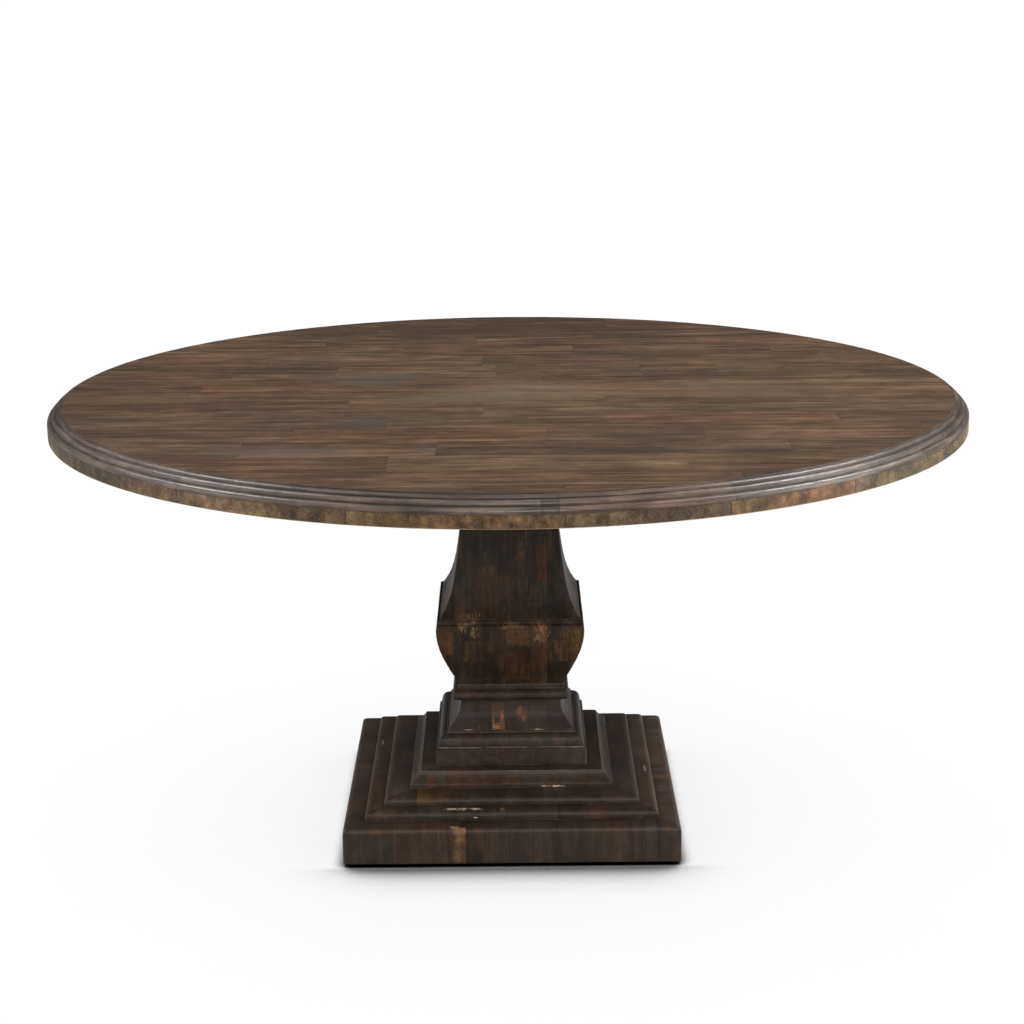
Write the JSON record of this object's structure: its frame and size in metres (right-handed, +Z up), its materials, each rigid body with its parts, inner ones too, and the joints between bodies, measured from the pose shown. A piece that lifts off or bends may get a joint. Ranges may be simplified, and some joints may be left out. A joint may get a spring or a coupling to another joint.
{
  "type": "round pedestal table",
  "caption": "Round dark-stained wooden pedestal dining table: moulded top, square flared column and stepped square base on screw-in levelling feet.",
  "frame": {"origin": "centre of the floor plane that the levelling feet stand on, straight below the middle of the round top", "axes": "+Z up along the column; +X along the grain of the top; +Y across the grain, away from the front"},
  "size_m": [1.524, 1.5239, 0.745],
  "materials": {
    "top_wood": "warm grey-brown stained wood, worn satin lacquer",
    "edge_wood": "grey-brown stained wood with worn arrises and ochre end grain",
    "base_wood": "dark espresso-stained wood, satin",
    "raw_wood": "unfinished hardwood, sawn and planed",
    "steel": "zinc-plated steel",
    "brass": "plain brass",
    "pad_nylon": "black nylon"
  },
  "bodies": {
    "table": {"top_panel": "top_wood", "edge_blocks": "edge_wood", "top_cleats": "base_wood", "cleat_screws": "steel", "threaded_inserts": "brass", "top_bolts": "steel", "bolt_washers": "steel", "bearer_long": "base_wood", "bearer_cross": "base_wood", "column_cap": "base_wood", "cap_lag_screws": "steel", "shaft_boards": "base_wood", "rim_board": "base_wood", "bulb_boards": "base_wood", "neck_collar": "base_wood", "neck_bead": "base_wood", "cove_foot": "base_wood", "ovolo_moulding": "base_wood", "foot_block": "base_wood", "upper_step": "base_wood", "middle_step": "base_wood", "lower_step": "base_wood", "plinth_rails": "base_wood", "plinth_deck": "raw_wood", "corner_blocks": "raw_wood", "tie_rod": "steel", "tie_nuts": "steel", "tie_washers": "steel", "tee_nuts": "steel"},
    "pad_fl": {"foot_pad_fl": "pad_nylon"},
    "screw_fl": {"foot_stem_fl": "steel"},
    "pad_fr": {"foot_pad_fr": "pad_nylon"},
    "screw_fr": {"foot_stem_fr": "steel"},
    "pad_bl": {"foot_pad_bl": "pad_nylon"},
    "screw_bl": {"foot_stem_bl": "steel"},
    "pad_br": {"foot_pad_br": "pad_nylon"},
    "screw_br": {"foot_stem_br": "steel"}
  },
  "joints": [
    {"name": "foot_fl_raise", "type": "slide", "parent": "table", "child": "pad_fl", "axis": [0, 0, -1], "range_m": [0, 0.01]},
    {"name": "foot_fl_turn", "type": "hinge", "parent": "pad_fl", "child": "screw_fl", "pos_m": [-0.21, -0.21, 0.012], "axis": [0, 0, -1], "range_deg": [0, 2880]},
    {"name": "foot_fr_raise", "type": "slide", "parent": "table", "child": "pad_fr", "axis": [0, 0, -1], "range_m": [0, 0.01]},
    {"name": "foot_fr_turn", "type": "hinge", "parent": "pad_fr", "child": "screw_fr", "pos_m": [0.21, -0.21, 0.012], "axis": [0, 0, -1], "range_deg": [0, 2880]},
    {"name": "foot_bl_raise", "type": "slide", "parent": "table", "child": "pad_bl", "axis": [0, 0, -1], "range_m": [0, 0.01]},
    {"name": "foot_bl_turn", "type": "hinge", "parent": "pad_bl", "child": "screw_bl", "pos_m": [-0.21, 0.21, 0.012], "axis": [0, 0, -1], "range_deg": [0, 2880]},
    {"name": "foot_br_raise", "type": "slide", "parent": "table", "child": "pad_br", "axis": [0, 0, -1], "range_m": [0, 0.01]},
    {"name": "foot_br_turn", "type": "hinge", "parent": "pad_br", "child": "screw_br", "pos_m": [0.21, 0.21, 0.012], "axis": [0, 0, -1], "range_deg": [0, 2880]}
  ],
  "couplings": [
    {"joint": "foot_fl_turn", "follows": "foot_fl_raise", "rad_per_m": 5026.5},
    {"joint": "foot_fr_turn", "follows": "foot_fr_raise", "rad_per_m": 5026.5},
    {"joint": "foot_bl_turn", "follows": "foot_bl_raise", "rad_per_m": 5026.5},
    {"joint": "foot_br_turn", "follows": "foot_br_raise", "rad_per_m": 5026.5}
  ]
}
